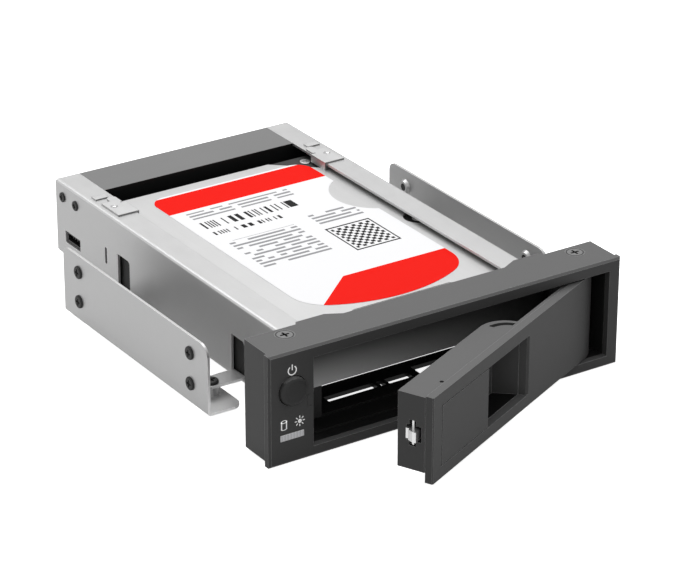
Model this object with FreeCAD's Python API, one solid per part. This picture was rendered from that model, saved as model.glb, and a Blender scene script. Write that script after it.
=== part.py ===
import FreeCAD, Part
import math
import os

# Hot swap cage for one 3.5 inch drive in a 5.25 inch bay. Millimetres, +X to the hinge side,
# +Y into the bay, +Z up. Pieces are drawn from the bezel's face (y = 0) and its bottom edge
# (z = 0), then moved so that the origin is the centre of the four bottom fixing holes.

V = FreeCAD.Vector
fit = 0.1                    # gap between fixed pieces that nest
run = 0.3                    # gap round a piece that moves
pin_play = 0.05              # radial play of a pin in its hole
over = 1.0                   # how far a cutting tool runs past what it cuts

# hard drive
drive_wide = 101.6
drive_long = 147.0
drive_high = 26.1
drive_lift = 0.3             # above the cage floor
drive_side_gap = 0.7         # drive to cage wall
drive_gap = 0.7              # closed door to seated drive
eject_rest = 1.2             # seated to rest
cover_thick = 0.8
label_thick = 0.1
hollow_high = 12.0           # open front of the underside
hollow_deep = 26.0
rail_wide = 6.5
body_corner = 2.0
mount_hole_radius = 1.4
mount_hole_deep = 3.2
side_mount_z = 6.35          # above the drive's bottom
side_mounts = (28.5, 130.1)  # from the connector end
under_mounts = (41.28, 85.73)
under_mount_in = 3.18        # from the drive's side
lid_corner = 8.0             # cover's corners, cut across
lid_in = 1.0                 # cover inside the casting's outline
lid_rear_right = (24.0, 6.0, 16.0, 22.0)
lid_rear_left = (11.0, 2.0, 6.0, 14.0)
lid_recess_radius = 5.6
lid_step_x = (-21.0, 26.0)   # shallow step in the cover's front
lid_step_y = (5.0, 20.0)
lid_screw_in = (4.5, 10.5, 4.8, 6.0)
lid_screw_rear = (5.3, 15.0)
lid_screw_front = 6.0
lid_screw = (4.6, 0.5)
lid_screw_long = 4.0
label_in = (19.8, 12.5)      # from the drive's left and right sides
label_ends = (20.8, 6.4)     # from the drive's front and rear
label_corner = 15.0          # front corners
label_bow = 26.7             # degrees, half the front arc
label_round = 7.0            # rear corners
label_scoop = (53.0, 37.0, 22.0)
label_scoop_deep = 9.0
board_long = 46.0            # circuit board and its room, from the connector end
board_room_high = 5.0
board_room_end = 1.5
belly_high = 3.2             # hollow between the front and the board
motor_y = 62.0
motor_radius = 15.0
motor_z = (1.2, 4.0)
drive_board_z = (1.4, 3.0)
drive_board_end = 12.4
drive_board_side = 5.0
plug_front = 11.8            # from the connector end
plug_room = 6.2
plug_blades = (1.9, 13.6, 16.8)
blade_y = (7.0, 1.6)
blade_z = (2.0, 2.6)

# bay fixing pattern
hole_pitch_y = 79.25         # front to rear fixing holes
first_hole_y = 53.2          # bezel face to front fixing holes
low_hole_z = 9.9             # bezel bottom to lower side holes
high_hole_rise = 11.84       # lower to upper side holes
bottom_hole_in = 3.15        # bottom holes from the bracket's wall
screw_thread = 3.0

# screw heads, as diameter and height
side_head = (5.0, 0.8)
tab_head = (5.6, 1.1)
guide_head = (5.0, 1.6)
housing_head = (3.9, 0.6)
housing_thread = 2.5
cross_wide = 0.8             # slots of a screw's cross
cross_deep = 0.9

# door, sized closed and turned to its rest angle
door_rest = 25.6             # degrees open at rest
door_gap = 0.5               # free end to opening
door_gap_z = 0.7
door_sunk = 0.3              # face behind bezel face
door_radius = 13.7           # rounded hinge end
door_edge = 0.35             # chamfer of the face's free end
hinge_gap = 0.9              # rounded end to opening
panel_thick = 3.0
box_deep = 13.6              # face to back of the box
box_wall = 1.6
box_bottom_rise = 3.6
box_floor = 1.0
box_top_drop = 0.5
box_straight = 56.5          # free end to start of the rounded end
box_end_radius = 9.8
end_wall = 2.0
seam = 0.25                  # groove between panel and box
core_ring = (1.2, 3.4)       # groove on the box's top, in from its rounded end
core_start = 1.5
arm_sweep = (20.0, 6.0)      # run and fall of the line that ends the arm's web
arm_thick = 3.0
arm_gap = 0.2                # arm to the panel's top and bottom edges
boss_radius = 2.8
hinge_pin_radius = 1.2
pin_grip = 1.2               # pin length held in the bezel's skin
pin_end = 0.4                # pin beyond its arm

# handle and latch
window_left = 5.6            # from the free end
window_low = 4.4             # above the panel's bottom edge
window_above = 4.9           # window to the panel's top edge
window_rim = 0.6             # bevel at the window's right side
undercut = 1.6               # lean of the window's left side
pocket_lean = 0.46           # lean of the finger pocket's right side, per unit of depth
pocket_wall = 1.2
pocket_back = 0.6            # pocket to the box's back wall
handle_right = 37.8
handle_thick = 2.2
handle_gap = 0.35
handle_edge = 0.3
handle_round = 0.9
handle_pin_in = 13.0         # from the free end
handle_pin_back = 4.4        # behind the face
handle_pin_radius = 0.8
handle_pin_sunk = 1.3        # below the box's top
knuckle_radius = 1.9
knuckle_high = 2.4
crank_reach = 5.2
crank_half = 0.9             # half the crank's width
crank_high = 2.4
crank_room_left = 6.8        # room in the bolt, left of the pin
flap_root = 0.5              # lugs and ribs start inside the flap
rib_ends = (8.0, 2.0)
rib_low = 5.0
rib_high = 6.0
rib_thick = 1.0
hub_radius = 1.6
bolt_proud = 2.6
bolt_back = 5.2              # face to front of the bolt
bolt_thick = 3.4
bolt_high = 3.8
bolt_step = 1.4              # rear stage of the bevel
bolt_rise = 1.45             # above the window's middle
fin_high = 9.0
fin_thick = 0.8
fin_back = 2.3               # bolt's front to the fin
fin_left = 0.4               # from the door's free end
fin_long = 1.4
bolt_slant = 0.9
bolt_root = 0.2
guide_in = 0.5               # guide behind the bolt's front
guide_deep = 5.0
guide_wall = 1.2
tail_beyond = 3.4            # bolt's tail beyond the handle's pin
spring_back = 3.2            # bolt's front to the spring's axis
spring_long = 6.0
spring_radius = 1.5
spring_wire = 0.4
spring_turns = 6

# bezel
bezel_beyond = 23.2          # bezel past the drive, each side
panel_wide = 17.8            # control panel, left of the opening
jamb = 5.0                   # right of the opening
bottom_rail = 4.0
mouth_above = 5.4            # drive to the opening's top
top_rail = 4.4
bezel_wall = 2.5             # front wall
bezel_side = 2.0             # skin of sides, top and bottom
lip_deep = 3.0
lip_step = 1.0
edge_bevel = 0.8
tongue_beyond = 1.6          # rear tongues behind the box
tongue_slant = 1.0
sill_groove = 0.5
relief = 1.5                 # rear edge of the top, before the drive
relief_ring = 2.0            # the same cut in the inner ring
bezel_screw_in = (3.6, 6.4)  # left one into the panel, right one into the opening's width
bezel_screw_front = 4.6      # before the box's rear edge
bezel_screw_head = 7.0

# control panel
button_off = 0.5             # right of the panel's middle
button_below = 14.5          # below the bezel's top
button_radius = 5.3
button_proud = 2.0
button_travel = 1.2
button_round = 1.5
button_skirt = 0.8           # cap behind the front wall
stem_radius = 1.6
led_off = 0.3
led_z = 10.3
led_wide = 9.3
led_high = 2.2
led_pipe_in = 1.0
board_y = 7.4
board_thick = 1.6
board_in = 1.2               # from the bezel's skin
board_rise = 1.4
switch_deep = 2.6
switch_wide = 6.0
catch_leaf = 1.6             # springy leaf that carries the latch's catch
catch_leg = 9.0

# cage
sheet = 1.0
floor_rise = 0.8             # cage bottom above the opening's bottom
lid_gap = 1.5                # drive to the flanges
flange_wide = 10.3
bend = 1.2
window_long = 8.8
window_top = 21.3
window_corner = 1.6
tab_high = 7.2               # top of the bent tabs
tab_short = 0.8              # tab narrower than its window
tab_in = 5.8                 # tab's end from the bracket's outside
tab_corner = 2.0
tab_screw_in = 9.2           # from the bracket's outside
tab_screw_y = 4.2            # from the window's front
front_window_y = 9.1         # bracket's front edge to the front window
rear_window_y = 13.0         # rear window to the bracket's rear edge
slot_wide = 1.6
slot_z = (13.8, 20.6)
slot_front = 19.2            # slot to the housing's front
port_long = 11.6
port_z = 11.0
port_high = 4.8
port_behind = 1.4            # behind the housing's front
side_screw_behind = (4.2, 14.1)
side_screw_z = 29.1
notch_y = 3.5
notch_z = 1.6
floor_hole_wide = 30.0
floor_hole_long = 18.0
floor_hole_pitch = 30.0
floor_hole_front = 12.8
floor_hole_corner = 3.0
floor_hole_rows = 3

# clips on the flanges, from the flange's inner edge and the housing's front
clip_thick = 0.6
clip_pad = (1.2, 7.8, 24.5, 11.5)
clip_tongue = (0.2, 4.0, 14.0, 7.8)
clip_step = (2.3, 7.8, 7.2, 4.0)
clip_dimple = (5.1, 16.5)
hook_long = 10.0
hook_over = 1.0
hook_on = 2.0

# rear housing
housing_gap = 5.4            # seated drive to the housing
housing_long = 19.5
housing_wall = 2.0
board_behind = 2.4           # housing's front to the backplane
socket_wide = 38.0
socket_high = 4.6
socket_rise = 3.0            # above the drive's bottom
plug_depth = 4.0             # engagement with the drive seated
data_port_x = (-30.0, -15.4)
power_port_x = (-10.0, 14.0)
rear_port_z = (9.4, 18.6)
rear_port_proud = 1.5
rear_port_wall = 1.2
rear_port_rim = 1.6
rear_port_room = 6.0
rear_blade_in = 2.4
rear_blade_half = 0.6
side_port_deep = 9.2
side_port_room = 7.0
side_port_wall = 0.6
side_pins = (0.24, 0.41, 0.58, 0.72)
side_pin = 0.6
side_pin_end = 7.5
pillar_deep = 6.5            # screw pillars in the housing
pillar_half = 2.6
pillar_below = 3.0
socket_room = 1.6            # housing's window round the socket
socket_flange = 1.4
socket_flange_thick = 1.2
socket_keys = (1.5, 14.0, 16.4)
socket_key_z = (1.7, 2.9)
backplane_z = (1.2, 4.5)     # from the floor and from the cage's top

# brackets
foot_wide = 14.4
bracket_bottom = 1.8
bracket_top = 28.4
bracket_before = 11.8        # before the front holes
bracket_behind = 11.4        # behind the rear holes
corner_front = 5.0
corner_rear = 3.5
foot_corner = 4.0
collar_long = 1.2
collar_radius = (3.0, 2.3)
spacer_radius = (3.0, 2.2)

# guide behind the bezel
guide_long = 18.0
guide_thick = 1.6
guide_slot_y = (7.4, 10.2)   # behind the bezel
guide_slot_breaks = (-2.6, -1.6, 2.2, 4.4)
guide_slot_beyond = 0.5
guide_slot_step = (0.6, 3.0)
guide_screw_z = (12.0, 26.0)
cheek_thick = 2.0
cheek_deep = 10.0

bezel_wide = drive_wide + 2 * bezel_beyond
half_bezel = bezel_wide / 2
box_half = half_bezel - lip_step
half_bracket = box_half
half_cage = drive_wide / 2 + drive_side_gap + sheet
flange_in = half_cage - flange_wide
tongue_in = half_cage - 12.5
relief_in = half_cage - 18.5
opening_left = panel_wide - half_bezel
opening_right = half_bezel - jamb
opening_bottom = bottom_rail
cage_bottom = opening_bottom + floor_rise
floor_top = cage_bottom + sheet
drive_low = floor_top + drive_lift
drive_top = drive_low + drive_high
cage_top = drive_top + lid_gap + sheet
opening_top = drive_top + mouth_above
bezel_high = opening_top + top_rail
hinge_x = opening_right - hinge_gap - door_radius
hinge_y = door_sunk + door_radius
bezel_deep = hinge_y + boss_radius + 0.2
cage_front = bezel_deep + fit
floor_front = bezel_deep + guide_long + 2 * fit
bezel_screw_x = (opening_left - bezel_screw_in[0], opening_right - bezel_screw_in[1])
bezel_screw_y = bezel_deep - bezel_screw_front
button_x = (opening_left - half_bezel) / 2 + button_off
button_z = bezel_high - button_below
led_x = (opening_left - half_bezel) / 2 + led_off
door_left = opening_left + door_gap
door_low = opening_bottom + door_gap_z
door_top = opening_top - door_gap_z
door_high = door_top - door_low
panel_back = door_sunk + panel_thick
window_right = box_straight + box_end_radius + 0.2
window_high = door_high - window_low - window_above
pocket_deep = box_deep - box_wall - pocket_back
bolt_z = door_low + window_low + window_high / 2 + bolt_rise
bolt_front = door_sunk + bolt_back
handle_pin_x = door_left + handle_pin_in
handle_pin_y = door_sunk + handle_pin_back
tail_end = handle_pin_x + tail_beyond
stop_left = tail_end + bolt_proud + spring_long
box_low = door_low + box_bottom_rise
box_high = door_top - box_top_drop
seated_front = door_sunk + box_deep + drive_gap
seated_rear = seated_front + drive_long
drive_front = seated_front - eject_rest
drive_rear = drive_front + drive_long
housing_front = seated_rear + housing_gap
cage_rear = housing_front + housing_long
housing_half = half_cage - sheet - fit
housing_rear = cage_rear - 2 * fit
board_front = housing_front + board_behind
port_y = housing_front + port_behind
slot_y = housing_front - slot_front
socket_low = drive_low + socket_rise
hole_ys = (first_hole_y, first_hole_y + hole_pitch_y)
hole_zs = (low_hole_z, low_hole_z + high_hole_rise)
side_screw_ys = [housing_front + behind for behind in side_screw_behind]
bracket_front = first_hole_y - bracket_before
bracket_rear = hole_ys[1] + bracket_behind
window_ys = (bracket_front + front_window_y, bracket_rear - rear_window_y)
tab_screws_at = [(half_bracket - tab_screw_in, y + tab_screw_y) for y in window_ys]
half_guide = half_cage + fit + cheek_thick
guide_screw_y = bezel_deep + cheek_deep / 2
origin = V(0, first_hole_y + hole_pitch_y / 2, bracket_bottom)


def box(x0, x1, y0, y1, z0, z1):
    return Part.makeBox(x1 - x0, y1 - y0, z1 - z0, V(x0, y0, z0))


def rod(radius, start, end):
    start, end = V(*start), V(*end)
    return Part.makeCylinder(radius, (end - start).Length, start, end - start)


def cone(r0, r1, start, end):
    start, end = V(*start), V(*end)
    return Part.makeCone(r0, r1, (end - start).Length, start, end - start)


def plate(points, z0, z1):
    wire = Part.makePolygon([V(x, y, z0) for x, y in points + points[:1]])
    return Part.Face(wire).extrude(V(0, 0, z1 - z0))


def side_plate(points, x0, x1):
    wire = Part.makePolygon([V(x0, y, z) for y, z in points + points[:1]])
    return Part.Face(wire).extrude(V(x1 - x0, 0, 0))


def raise_outline(edges, z0, z1):
    face = Part.Face(Part.Wire(edges))
    face.translate(V(0, 0, z0))
    return face.extrude(V(0, 0, z1 - z0))


def line(start, end):
    return Part.makeLine(V(*start, 0), V(*end, 0))


def arc(start, through, end):
    return Part.Arc(V(*start, 0), V(*through, 0), V(*end, 0)).toShape()


def join(shapes):
    whole = shapes[0]
    if len(shapes) > 1:
        whole = whole.fuse(shapes[1:])
    return whole.removeSplitter()


def mirror(shape):
    return shape.mirror(V(0, 0, 0), V(1, 0, 0))


def both_sides(shape):
    return [shape, mirror(shape)]


def round_edges(shape, radius, keep):
    return shape.makeFillet(radius, [edge for edge in shape.Edges if keep(edge)])


# picks the straight edges along one axis through a place on the other two
def at_line(axis, first, second):
    others = [name for name in "XYZ" if name != axis]

    def test(edge):
        room = edge.BoundBox
        return all(getattr(room, name + "Length") < 0.01 and abs(getattr(room, name + "Min") - place) < 0.01
                   for name, place in zip(others, (first, second)))
    return test


def upright(edge):
    room = edge.BoundBox
    return room.XLength < 0.01 and room.YLength < 0.01


def swing(shape):
    turned = shape.copy()
    turned.rotate(V(hinge_x, hinge_y, 0), V(0, 0, 1), door_rest)
    return turned


def save(name, shape):
    solids = shape if isinstance(shape, list) else [shape]
    solids = [solid for piece in solids for solid in piece.Solids]
    whole = solids[0] if len(solids) == 1 else Part.makeCompound(solids)
    whole.translate(-origin)
    whole.exportStep("parts/" + name + ".step")
    print(name, len(solids), "solids", round(whole.Volume, 1), "mm3", whole.isValid())


def pan_screw(base, way, reach, head, thread=screw_thread):
    wide, high = head
    base, way = V(*base), V(*way)
    cap = Part.makeCylinder(wide / 2, high, base, way)
    top = base + way * high
    cap = round_edges(cap, high * 0.6, lambda edge: (edge.CenterOfMass - top).Length < 0.01)
    shank = Part.makeCylinder(thread / 2, reach, base - way * reach, way)
    arm = wide * 0.28
    half = cross_wide / 2
    cross = join([box(-arm, arm, -half, half, 0, high), box(-half, half, -arm, arm, 0, high)])
    cross.Placement = FreeCAD.Placement(base + way * (high * 0.4), FreeCAD.Rotation(V(0, 0, 1), way))
    return join([cap, shank]).cut(cross)


# bezel

def front_bezel():
    lip = box(-half_bezel, half_bezel, 0, lip_deep, 0, bezel_high)
    lip = lip.makeChamfer(edge_bevel, [e for e in lip.Edges if abs(e.BoundBox.YMax) < 0.01])
    joint = lip_deep - over
    tongue = bezel_deep + tongue_beyond
    half_rear = [(box_half, joint), (box_half, bezel_deep), (half_cage, bezel_deep),
                 (half_cage - tongue_slant, tongue), (tongue_in, tongue), (relief_in, bezel_deep - relief)]
    rear = half_rear + [(-x, y) for x, y in reversed(half_rear)]
    top = plate(rear, bezel_high - bezel_side, bezel_high)
    inner = box_half - bezel_side
    shell = box(-box_half, box_half, joint, bezel_deep, lip_step, bezel_high - over)
    hollow = box(-inner, inner, bezel_wall, bezel_deep + over,
                 lip_step + bezel_side, bezel_high - bezel_side)
    body = join([lip, shell, top]).cut(hollow)
    cuts = [box(opening_left, opening_right, -over, bezel_deep, opening_bottom, opening_top),
            rod(button_radius + run, (button_x, -over, button_z), (button_x, bezel_wall + over, button_z)),
            led_block(fit, -over, bezel_wall + over),
            catch_room()]
    cuts += [countersunk(x, screw_thread / 2 + fit, bezel_screw_head / 2 + fit) for x in bezel_screw_x]
    cuts += hinge_rods(hinge_pin_radius, opening_bottom + over, opening_top - over)
    return body.cut(cuts)


def led_block(grow, front, back):
    half_wide = led_wide / 2 + grow
    half_high = led_high / 2 + grow
    return box(led_x - half_wide, led_x + half_wide, front, back, led_z - half_high, led_z + half_high)


def countersunk(x, shank_radius, head_radius):
    sink = head_radius - shank_radius
    neck = (x, bezel_screw_y, bezel_high - sink)
    head = cone(shank_radius, head_radius, neck, (x, bezel_screw_y, bezel_high))
    low = bezel_high - 2 * bezel_side - fit
    return join([head, rod(shank_radius, (x, bezel_screw_y, low), neck)])


def bezel_screws():
    screws = []
    arm = bezel_screw_head / 4
    half = cross_wide / 2
    low = bezel_high - cross_deep
    for x in bezel_screw_x:
        screw = countersunk(x, screw_thread / 2, bezel_screw_head / 2)
        cross = join([box(x - arm, x + arm, bezel_screw_y - half, bezel_screw_y + half, low, bezel_high),
                      box(x - half, x + half, bezel_screw_y - arm, bezel_screw_y + arm, low, bezel_high)])
        screws.append(screw.cut(cross))
    return screws


def catch_room():
    low = bolt_z - bolt_high / 2 - run
    return box(opening_left - bolt_proud, opening_left + over, -over, bolt_front,
               low, low + bolt_high + 2 * run)


def bezel_frame():
    inner = box_half - bezel_side - fit
    low = lip_step + bezel_side + fit
    high = bezel_high - bezel_side - fit
    ring = box(-inner, inner, bezel_wall + fit, bezel_deep, low, high)
    opening = box(opening_left, opening_right, 0, bezel_deep + over, opening_bottom, opening_top)
    panel_room = box(-inner - over, opening_left - bolt_proud + run, 0, bezel_deep - end_wall, low + over,
                     opening_top - run)
    rear_cut = box(-relief_in, relief_in, bezel_deep - relief_ring, bezel_deep + over,
                   opening_top - over, high + over)
    groove = box(opening_left, opening_right, bolt_front + run, bolt_front + 3 * over,
                 opening_bottom - sill_groove, opening_bottom + over)
    strike_half = fin_high / 2 + 2 * run
    strike = box(opening_left - bolt_proud - run, opening_left + over, bolt_front - run,
                 bolt_front + bolt_thick + bolt_step + 3 * run, bolt_z - strike_half, bolt_z + strike_half)
    frame = ring.cut([opening, panel_room, rear_cut, groove, strike, catch_room()])
    screw_holes = [rod(screw_thread / 2, (x, bezel_screw_y, opening_top), (x, bezel_screw_y, high + over))
                   for x in bezel_screw_x]
    pins = hinge_rods(hinge_pin_radius, opening_bottom + over, opening_top - over)
    return join([frame, drive_guide(low)]).cut(screw_holes + pins)


def drive_guide(low):
    tongue = box(-half_guide, half_guide, bezel_deep - fit, bezel_deep + guide_long, low, low + guide_thick)
    cheek = box(half_cage + fit, half_guide, bezel_deep - fit, bezel_deep + cheek_deep,
                low, cage_top - cheek_thick)
    guide = join([tongue] + both_sides(cheek))
    front = bezel_deep + guide_slot_y[0]
    back = bezel_deep + guide_slot_y[1]
    reach = relief_in + guide_slot_beyond
    first, second, third, fourth = guide_slot_breaks
    ahead, behind = guide_slot_step
    slots = [(-reach, first, front, back), (second, third, front, back),
             (fourth, reach, front - ahead, back + behind)]
    cuts = [box(x0, x1, y0, y1, low - over, low + guide_thick + over) for x0, x1, y0, y1 in slots]
    side = half_guide + over
    cuts += [rod(screw_thread / 2, (-side, guide_screw_y, z), (side, guide_screw_y, z))
             for z in guide_screw_z]
    return guide.cut(cuts)


def strike_catch():
    left = opening_left - bolt_proud + fit
    back = bolt_front - 4 * fit
    low = bolt_z - bolt_high / 2 - run + fit
    tongue = box(left, opening_left, 0, back, low, low + bolt_high + 2 * (run - fit))
    leaf = box(left - catch_leaf, left + fit, bezel_wall, back, low - catch_leg, low + run + 2 * fit)
    return join([tongue, leaf])


def led_window():
    pipe = led_block(-run, bezel_wall, board_y - 4 * run)
    face = led_block(0, 0, bezel_wall)
    half = led_wide / 2 - led_pipe_in
    trim = box(led_x - half, led_x + half, 0, board_y, 0, bezel_high)
    return join([face, pipe.common(trim)])


def power_button():
    back = bezel_wall + button_skirt
    cap = rod(button_radius, (button_x, -button_proud, button_z), (button_x, back, button_z))
    cap = round_edges(cap, button_round, lambda edge: abs(edge.BoundBox.YMax + button_proud) < 0.01)
    collar = rod(button_radius + 2 * run - fit, (button_x, bezel_wall + run, button_z),
                 (button_x, back + 4 * fit, button_z))
    stem = rod(stem_radius, (button_x, back, button_z), (button_x, board_y - switch_deep, button_z))
    return join([cap, collar, stem])


def button_switch():
    half = switch_wide / 2
    return box(button_x - half, button_x + half, board_y - switch_deep + button_travel + run, board_y,
               button_z - half, button_z + half)


def front_board():
    left = bezel_side - box_half + board_in
    return box(left, opening_left - bolt_proud - 4 * fit, board_y, board_y + board_thick,
               lip_step + bezel_side + board_rise, button_z + switch_wide)


def hinge_rods(radius, lower_top, upper_bottom):
    low = lip_step + bezel_side - pin_grip
    high = bezel_high - bezel_side + pin_grip
    return [rod(radius, (hinge_x, hinge_y, low), (hinge_x, hinge_y, lower_top)),
            rod(radius, (hinge_x, hinge_y, upper_bottom), (hinge_x, hinge_y, high))]


def hinge_pins():
    reach = arm_gap + arm_thick + pin_end
    return hinge_rods(hinge_pin_radius, door_low + reach, door_top - reach)


# door, drawn closed

def door_panel():
    turn = -25.0
    inside = door_radius - panel_thick

    def at(radius, angle):
        angle = math.radians(angle)
        return hinge_x + radius * math.cos(angle), hinge_y + radius * math.sin(angle)

    middle = (turn - 90) / 2
    front = [(door_left, door_sunk + door_edge), (door_left + door_edge, door_sunk), (hinge_x, door_sunk)]
    edges = [line(front[0], front[1]), line(front[1], front[2]),
             arc(front[2], at(door_radius, middle), at(door_radius, turn)),
             line(at(door_radius, turn), at(inside, turn)),
             arc(at(inside, turn), at(inside, middle), (hinge_x, panel_back)),
             line((hinge_x, panel_back), (door_left, panel_back)),
             line((door_left, panel_back), front[0])]
    panel = raise_outline(edges, door_low, door_top)
    left = door_left + window_left
    right = door_left + window_right
    low = door_low + window_low
    lean = right - pocket_lean * panel_thick
    window = plate([(left, -over), (right + window_rim, -over), (right + window_rim, door_sunk),
                    (right - window_rim / 2, door_sunk + window_rim), (lean, panel_back), (lean, hinge_y),
                    (left, hinge_y)], low, low + window_high)
    behind = panel_back + fit
    cut_back = plate([(left, door_sunk + 2 * fit), (left, behind), (left - undercut, behind)],
                     low, low + window_high)
    return panel.cut([window, cut_back, hinge_bore()])


def hinge_bore():
    return rod(hinge_pin_radius + pin_play, (hinge_x, hinge_y, 0), (hinge_x, hinge_y, bezel_high))


def box_block(inset, z0, z1):
    back = door_sunk + box_deep - inset
    left = door_left + (end_wall if inset else 0)
    centre_x = door_left + box_straight
    radius = box_end_radius - inset
    slope = (back - panel_back) / radius
    part = math.sin(math.pi / 4)
    middle = (centre_x + radius * part, panel_back + radius * slope * part)
    side = (centre_x + radius, panel_back)
    edges = [line((left, panel_back), (left, back)), line((left, back), (centre_x, back)),
             arc((centre_x, back), middle, side), line(side, (left, panel_back))]
    return raise_outline(edges, z0, z1)


def door_back():
    shell = box_block(0, box_low, box_high)
    room = box_block(box_wall, box_low + box_floor, box_high - box_wall)
    centre_x = door_left + box_straight
    backing = box(centre_x, hinge_x, panel_back, panel_back + box_wall, door_low + arm_gap, box_high)
    walls, pocket = finger_pocket()
    lined = join([shell.cut(room), backing, walls.common(join([shell, room]))]).cut(pocket)
    arms = [hinge_arm(door_low + arm_gap), hinge_arm(door_top - arm_gap - arm_thick)]
    pin_hole = handle_rod(handle_pin_radius, door_low, door_top)
    back = join([lined] + arms + bolt_guide())
    return back.cut(bolt_slot() + [pin_hole, hinge_bore(), core_cut(), end_seam()])


def end_seam():
    return box(door_left - over, door_left + seam, panel_back - over, panel_back + seam, box_low - over,
               box_high + over)


def bolt_slot():
    right = door_left + end_wall + over
    half = bolt_high / 2 + over
    fin_half = fin_high / 2 + run
    fin_front = bolt_front + fin_back
    return [box(door_left - over, right, bolt_front - 2 * run, bolt_front + bolt_thick + bolt_step + 2 * fit,
                bolt_z - half, bolt_z + half),
            box(door_left - over, right, fin_front - 3 * run, fin_front + fin_thick + 3 * run,
                bolt_z - fin_half, bolt_z + fin_half)]


def finger_pocket():
    front = panel_back - fit
    back = door_sunk + pocket_deep
    left = stop_left + pocket_wall
    right = door_left + window_right
    floor = box_low + box_floor
    ceiling = door_low + window_low + window_high

    def block(grow, x0, z0, z1):
        depth = pocket_deep + grow
        points = [(x0, front), (right - pocket_lean * panel_thick + grow, front),
                  (right - pocket_lean * depth + grow, door_sunk + depth), (x0, door_sunk + depth)]
        return plate(points, z0, z1)

    inside = block(0, left, floor, ceiling)
    outside = block(pocket_wall, door_left + over, floor, ceiling + pocket_wall)
    works = box(door_left, stop_left, front, back + 20 * over, floor, ceiling)
    return outside.cut([inside, works]), inside


def core_cut():
    centre = (door_left + box_straight, panel_back)
    low = box_high - pocket_wall
    outer = rod(box_end_radius - core_ring[0], (*centre, low), (*centre, box_high + over))
    inner = rod(box_end_radius - core_ring[1], (*centre, low - over), (*centre, box_high + 2 * over))
    x, y = [place + core_start for place in centre]
    reach = 2 * box_end_radius
    quarter = box(x, x + reach, y, y + reach, low, box_high + over)
    return outer.cut(inner).common(quarter)


def hinge_arm(low):
    high = low + arm_thick
    boss = rod(boss_radius, (hinge_x, hinge_y, low), (hinge_x, hinge_y, high))
    web = plate([(hinge_x - boss_radius, hinge_y), (hinge_x - 3 * boss_radius, panel_back),
                 (hinge_x, panel_back), (hinge_x + boss_radius, hinge_y)], low, high)
    sweep = rod(door_radius - panel_thick, (hinge_x, hinge_y, low), (hinge_x, hinge_y, high))
    far = hinge_x + arm_sweep[0]
    quarter = plate([(hinge_x, hinge_y), (hinge_x, 0), (far, 0), (far, hinge_y - arm_sweep[1])], low, high)
    return join([boss, web, sweep.common(quarter)])


def bolt_guide():
    reach = door_left + end_wall
    wide = reach + guide_deep
    front = bolt_front + guide_in
    back = door_sunk + box_deep - box_wall
    half = bolt_high / 2 + run
    lower = box(reach, wide, front, back, bolt_z - half - guide_wall, bolt_z - half)
    upper = box(reach, wide, front, back, bolt_z + half, bolt_z + half + guide_wall)
    fin_front = bolt_front + fin_back
    fin_room = box(reach - over, reach + bolt_proud + over, fin_front - 3 * run,
                   fin_front + fin_thick + 3 * run, bolt_z - fin_high, bolt_z + fin_high)
    return [lower.cut(fin_room), upper.cut(fin_room)]


def handle_rod(radius, low, high):
    return rod(radius, (handle_pin_x, handle_pin_y, low), (handle_pin_x, handle_pin_y, high))


def handle_pin():
    return handle_rod(handle_pin_radius, box_low + 4 * fit, box_high - handle_pin_sunk)


def door_handle():
    left = door_left + window_left + handle_gap
    right = door_left + handle_right
    low = door_low + window_low + handle_gap
    high = low + window_high - 2 * handle_gap
    back = door_sunk + handle_thick
    root = back - flap_root
    flap = box(left, right, door_sunk, back, low, high)
    flap = round_edges(flap, handle_round, at_line("Z", right, back))
    flap = flap.makeChamfer(handle_edge, [e for e in flap.Edges if at_line("Z", left, door_sunk)(e)])
    x, y = handle_pin_x, handle_pin_y
    pieces = [flap]
    for z in (low + over, high - handle_gap - knuckle_high):
        pieces.append(rod(knuckle_radius, (x, y, z), (x, y, z + knuckle_high)))
        pieces.append(box(x - knuckle_radius, x + knuckle_radius, root, y, z, z + knuckle_high))
    tip = y + crank_reach
    z0 = bolt_z - crank_high / 2
    z1 = bolt_z + crank_high / 2
    pieces.append(box(x - crank_half, x + crank_half, root, tip, z0, z1))
    pieces.append(rod(crank_half, (x, tip, z0), (x, tip, z1)))
    pieces.append(rod(hub_radius, (x, y, z0), (x, y, z1)))
    for z in (low + rib_low, high - rib_high):
        pieces.append(box(left + rib_ends[0], right - rib_ends[1], root, back + flap_root, z, z + rib_thick))
    return join(pieces).cut(handle_rod(handle_pin_radius + pin_play, 0, bezel_high))


def latch_bolt():
    low = bolt_z - bolt_high / 2
    high = bolt_z + bolt_high / 2
    tip = door_left - bolt_proud
    root = door_left + bolt_root
    rear = bolt_front + bolt_thick + bolt_step
    nose = plate([(tip, bolt_front), (root, bolt_front), (root, bolt_front + bolt_thick),
                  (tip + bolt_slant, bolt_front + bolt_thick), (tip, bolt_front + bolt_step)], low, high)
    step = box(door_left - bolt_slant, root, bolt_front, rear, low, high)
    stem = box(root, tail_end, bolt_front + 4 * fit, rear, low, high)
    room_left = handle_pin_x - crank_room_left
    room_low = bolt_z - crank_high / 2 - run
    room_high = bolt_z + crank_high / 2 + run
    crank_room = box(room_left, handle_pin_x + crank_half + fit, bolt_front - over, rear + over,
                     room_low, room_high)
    hub_room = box(room_left, handle_pin_x + hub_radius + 7 * fit, bolt_front - over, bolt_front + bolt_step,
                   room_low, room_high)
    fin_start = door_left + fin_left
    fin = box(fin_start, fin_start + fin_long, bolt_front + fin_back, bolt_front + fin_back + fin_thick,
              bolt_z - fin_high / 2, bolt_z + fin_high / 2)
    axis = bolt_front + spring_back
    seat = rod(spring_radius - spring_wire - fit, (tail_end - fit, axis, bolt_z),
               (tail_end + bolt_step, axis, bolt_z))
    return join([nose, step, stem.cut([crank_room, hub_room]), fin, seat])


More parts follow.
